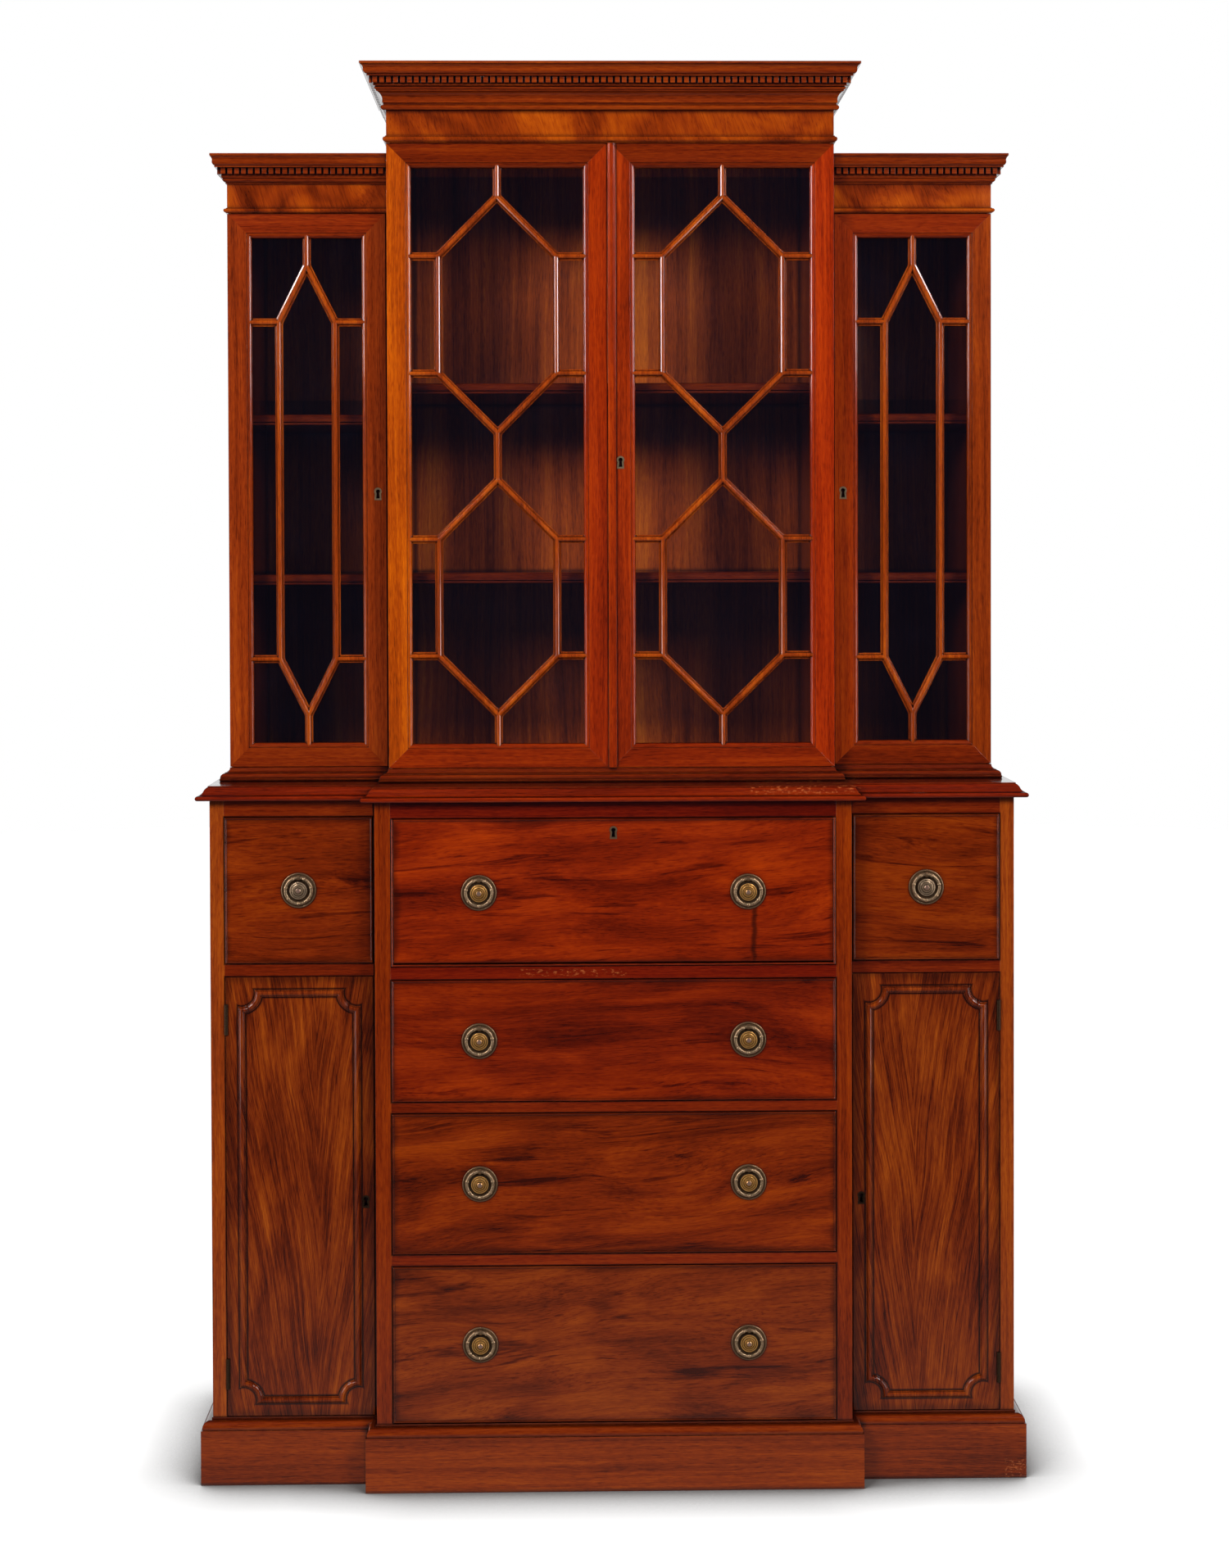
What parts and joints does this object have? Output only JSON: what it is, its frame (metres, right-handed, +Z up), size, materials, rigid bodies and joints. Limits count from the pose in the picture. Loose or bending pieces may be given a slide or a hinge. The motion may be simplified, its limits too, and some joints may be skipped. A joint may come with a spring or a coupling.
{
  "type": "breakfront bookcase",
  "caption": "Mahogany breakfront bookcase: glazed doors with astragal bars above, drawers with ring pulls and panelled cupboards below, stepped cornice with dentils.",
  "frame": {"origin": "on the floor, in the middle of the width and of the depth", "axes": "+X to the viewer's right, the front faces -Y, +Z up"},
  "size_m": [1.233, 0.459, 2.11],
  "materials": {
    "mahogany": "gloss",
    "figured_mahogany": "gloss",
    "secondary_wood": "satin",
    "brass": "polished, aged",
    "bronzed_brass": "dark, aged",
    "glass": "clear"
  },
  "bodies": {
    "case": {"plinth": "mahogany", "plinth_moulding": "mahogany", "lower_uprights": "mahogany", "lower_dividers": "mahogany", "back_boards": "mahogany", "waist_top": "mahogany", "upper_base_moulding": "mahogany", "upper_case_boards": "mahogany", "shelves": "mahogany", "friezes": "figured_mahogany", "cornices": "mahogany", "case_hinges": "bronzed_brass"},
    "centre_left_door": {"centre_left_door_frame": "mahogany", "centre_left_door_bars": "mahogany", "centre_left_door_glass": "glass", "centre_left_door_brass": "brass"},
    "centre_right_door": {"centre_right_door_frame": "mahogany", "centre_right_door_bars": "mahogany", "centre_right_door_glass": "glass", "centre_right_door_brass": "brass"},
    "left_wing_door": {"left_wing_door_frame": "mahogany", "left_wing_door_bars": "mahogany", "left_wing_door_glass": "glass", "left_wing_door_brass": "brass"},
    "right_wing_door": {"right_wing_door_frame": "mahogany", "right_wing_door_bars": "mahogany", "right_wing_door_glass": "glass", "right_wing_door_brass": "brass"},
    "left_cupboard": {"left_cupboard_door": "figured_mahogany", "left_cupboard_brass": "bronzed_brass"},
    "right_cupboard": {"right_cupboard_door": "figured_mahogany", "right_cupboard_brass": "bronzed_brass"},
    "left_wing_drawer": {"left_wing_drawer_front": "figured_mahogany", "left_wing_drawer_box": "secondary_wood", "left_wing_drawer_plates": "brass"},
    "right_wing_drawer": {"right_wing_drawer_front": "figured_mahogany", "right_wing_drawer_box": "secondary_wood", "right_wing_drawer_plates": "brass"},
    "long_drawer_1": {"long_drawer_1_front": "figured_mahogany", "long_drawer_1_box": "secondary_wood", "long_drawer_1_plates": "brass"},
    "long_drawer_2": {"long_drawer_2_front": "figured_mahogany", "long_drawer_2_box": "secondary_wood", "long_drawer_2_plates": "brass"},
    "long_drawer_3": {"long_drawer_3_front": "figured_mahogany", "long_drawer_3_box": "secondary_wood", "long_drawer_3_plates": "brass"},
    "secretaire_drawer": {"secretaire_box": "secondary_wood"},
    "secretaire_front": {"secretaire_fall": "figured_mahogany", "secretaire_brass": "brass"},
    "long_drawer_1_left_ring": {"long_drawer_1_left_ring": "brass"},
    "long_drawer_2_left_ring": {"long_drawer_2_left_ring": "brass"},
    "long_drawer_3_left_ring": {"long_drawer_3_left_ring": "brass"},
    "secretaire_left_ring": {"secretaire_left_ring": "brass"},
    "left_wing_drawer_ring": {"left_wing_drawer_ring": "brass"},
    "long_drawer_1_right_ring": {"long_drawer_1_right_ring": "brass"},
    "long_drawer_2_right_ring": {"long_drawer_2_right_ring": "brass"},
    "long_drawer_3_right_ring": {"long_drawer_3_right_ring": "brass"},
    "secretaire_right_ring": {"secretaire_right_ring": "brass"},
    "right_wing_drawer_ring": {"right_wing_drawer_ring": "brass"}
  },
  "joints": [
    {"name": "centre_left_door_hinge", "type": "hinge", "parent": "case", "child": "centre_left_door", "pos_m": [-0.3323, -0.1185, 1.526], "axis": [0, 0, -1], "range_deg": [0, 105]},
    {"name": "left_wing_door_hinge", "type": "hinge", "parent": "case", "child": "left_wing_door", "pos_m": [-0.5753, -0.0805, 1.476], "axis": [0, 0, -1], "range_deg": [0, 105]},
    {"name": "left_cupboard_hinge", "type": "hinge", "parent": "case", "child": "left_cupboard", "pos_m": [-0.57465, -0.1731, 0.42525], "axis": [0, 0, -1], "range_deg": [0, 105]},
    {"name": "centre_right_door_hinge", "type": "hinge", "parent": "case", "child": "centre_right_door", "pos_m": [0.3323, -0.1185, 1.526], "axis": [0, 0, 1], "range_deg": [0, 105]},
    {"name": "right_wing_door_hinge", "type": "hinge", "parent": "case", "child": "right_wing_door", "pos_m": [0.5753, -0.0805, 1.476], "axis": [0, 0, 1], "range_deg": [0, 105]},
    {"name": "right_cupboard_hinge", "type": "hinge", "parent": "case", "child": "right_cupboard", "pos_m": [0.57465, -0.1731, 0.42525], "axis": [0, 0, 1], "range_deg": [0, 105]},
    {"name": "left_wing_drawer_slide", "type": "slide", "parent": "case", "child": "left_wing_drawer", "axis": [0, -1, 0], "range_m": [0, 0.3]},
    {"name": "right_wing_drawer_slide", "type": "slide", "parent": "case", "child": "right_wing_drawer", "axis": [0, -1, 0], "range_m": [0, 0.3]},
    {"name": "long_drawer_1_slide", "type": "slide", "parent": "case", "child": "long_drawer_1", "axis": [0, -1, 0], "range_m": [0, 0.3]},
    {"name": "long_drawer_2_slide", "type": "slide", "parent": "case", "child": "long_drawer_2", "axis": [0, -1, 0], "range_m": [0, 0.3]},
    {"name": "long_drawer_3_slide", "type": "slide", "parent": "case", "child": "long_drawer_3", "axis": [0, -1, 0], "range_m": [0, 0.3]},
    {"name": "secretaire_drawer_slide", "type": "slide", "parent": "case", "child": "secretaire_drawer", "axis": [0, -1, 0], "range_m": [0, 0.3]},
    {"name": "secretaire_front_hinge", "type": "hinge", "parent": "secretaire_drawer", "child": "secretaire_front", "pos_m": [0, -0.2065, 0.7807], "axis": [1, 0, 0], "range_deg": [0, 90]},
    {"name": "long_drawer_1_left_ring_swing", "type": "hinge", "parent": "long_drawer_1", "child": "long_drawer_1_left_ring", "pos_m": [-0.198, -0.2152, 0.6822], "axis": [-1, 0, 0], "range_deg": [0, 100]},
    {"name": "long_drawer_2_left_ring_swing", "type": "hinge", "parent": "long_drawer_2", "child": "long_drawer_2_left_ring", "pos_m": [-0.198, -0.2152, 0.47095], "axis": [-1, 0, 0], "range_deg": [0, 100]},
    {"name": "long_drawer_3_left_ring_swing", "type": "hinge", "parent": "long_drawer_3", "child": "long_drawer_3_left_ring", "pos_m": [-0.198, -0.2152, 0.23295], "axis": [-1, 0, 0], "range_deg": [0, 100]},
    {"name": "secretaire_left_ring_swing", "type": "hinge", "parent": "secretaire_front", "child": "secretaire_left_ring", "pos_m": [-0.198, -0.2152, 0.9007], "axis": [-1, 0, 0], "range_deg": [0, 100]},
    {"name": "left_wing_drawer_ring_swing", "type": "hinge", "parent": "left_wing_drawer", "child": "left_wing_drawer_ring", "pos_m": [-0.46625, -0.1772, 0.9007], "axis": [-1, 0, 0], "range_deg": [0, 100]},
    {"name": "long_drawer_1_right_ring_swing", "type": "hinge", "parent": "long_drawer_1", "child": "long_drawer_1_right_ring", "pos_m": [0.198, -0.2152, 0.6822], "axis": [-1, 0, 0], "range_deg": [0, 100]},
    {"name": "long_drawer_2_right_ring_swing", "type": "hinge", "parent": "long_drawer_2", "child": "long_drawer_2_right_ring", "pos_m": [0.198, -0.2152, 0.47095], "axis": [-1, 0, 0], "range_deg": [0, 100]},
    {"name": "long_drawer_3_right_ring_swing", "type": "hinge", "parent": "long_drawer_3", "child": "long_drawer_3_right_ring", "pos_m": [0.198, -0.2152, 0.23295], "axis": [-1, 0, 0], "range_deg": [0, 100]},
    {"name": "secretaire_right_ring_swing", "type": "hinge", "parent": "secretaire_front", "child": "secretaire_right_ring", "pos_m": [0.198, -0.2152, 0.9007], "axis": [-1, 0, 0], "range_deg": [0, 100]},
    {"name": "right_wing_drawer_ring_swing", "type": "hinge", "parent": "right_wing_drawer", "child": "right_wing_drawer_ring", "pos_m": [0.46625, -0.1772, 0.9007], "axis": [-1, 0, 0], "range_deg": [0, 100]}
  ]
}
